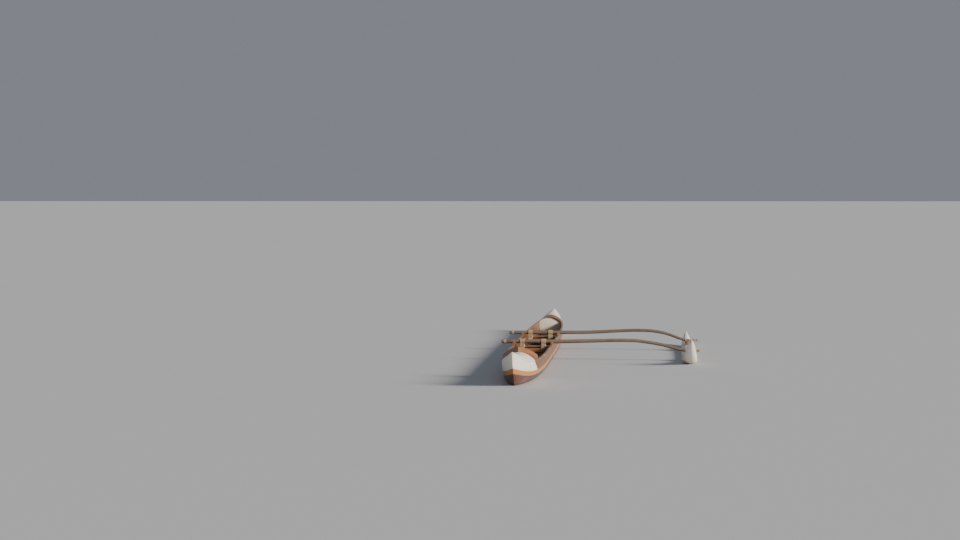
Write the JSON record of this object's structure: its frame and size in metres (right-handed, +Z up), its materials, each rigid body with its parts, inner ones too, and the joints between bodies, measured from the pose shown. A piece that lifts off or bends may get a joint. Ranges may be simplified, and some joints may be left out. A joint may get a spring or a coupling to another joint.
{
  "type": "outrigger canoe",
  "caption": "Long narrow paddling canoe with upswept ends, decked bow and stern, plank seats, and a slim float held out to port by bent booms lashed across the hull.",
  "frame": {"origin": "on the waterline amidships, on the centreline of the hull", "axes": "+Z up, -Y towards the bow, +Y towards the stern, +X to port, where the float lies"},
  "size_m": [2.666, 12.2, 0.6619],
  "materials": {
    "hull_wood": "oiled red-brown hardwood with a gold band along its top edge",
    "strake_wood": "varnished brown hardwood",
    "white_paint": "glossy white paint over wood, chipped along the edges",
    "varnished_wood": "varnished hardwood",
    "boom_wood": "weathered hardwood, worn varnish",
    "cordage": "laid cotton rope"
  },
  "bodies": {
    "root": {"hull_fore": "hull_wood", "hull_middle": "hull_wood", "hull_aft": "hull_wood", "strake_port_fore": "strake_wood", "strake_port_middle": "strake_wood", "strake_port_aft": "strake_wood", "strake_starboard_fore": "strake_wood", "strake_starboard_middle": "strake_wood", "strake_starboard_aft": "strake_wood", "bow_cheek_port": "white_paint", "bow_cheek_starboard": "white_paint", "stern_cheek_port": "white_paint", "stern_cheek_starboard": "white_paint", "bow_end_piece": "white_paint", "stern_end_piece": "white_paint", "bow_deck": "white_paint", "stern_deck": "white_paint", "bow_bulkhead": "white_paint", "stern_bulkhead": "white_paint", "splash_guard": "varnished_wood", "rail_port_fore": "varnished_wood", "rail_port_middle": "varnished_wood", "rail_port_aft": "varnished_wood", "rail_starboard_fore": "varnished_wood", "rail_starboard_middle": "varnished_wood", "rail_starboard_aft": "varnished_wood", "seat_riser_port": "varnished_wood", "seat_riser_starboard": "varnished_wood", "seat_1": "varnished_wood", "seat_2": "varnished_wood", "seat_3": "varnished_wood", "seat_4": "varnished_wood", "seat_5": "varnished_wood", "seat_6": "varnished_wood", "float": "white_paint", "boom_front": "boom_wood", "spreader_front": "varnished_wood", "spreader_cleat_front_port": "varnished_wood", "spreader_cleat_front_starboard": "varnished_wood", "boom_chock_front_port": "varnished_wood", "boom_chock_front_starboard": "varnished_wood", "hull_lashing_front_port": "cordage", "hull_lashing_front_starboard": "cordage", "float_saddle_front": "varnished_wood", "float_lashing_front": "cordage", "boom_rear": "boom_wood", "spreader_rear": "varnished_wood", "spreader_cleat_rear_port": "varnished_wood", "spreader_cleat_rear_starboard": "varnished_wood", "boom_chock_rear_port": "varnished_wood", "boom_chock_rear_starboard": "varnished_wood", "hull_lashing_rear_port": "cordage", "hull_lashing_rear_starboard": "cordage", "float_saddle_rear": "varnished_wood", "float_lashing_rear": "cordage"}
  },
  "joints": []
}
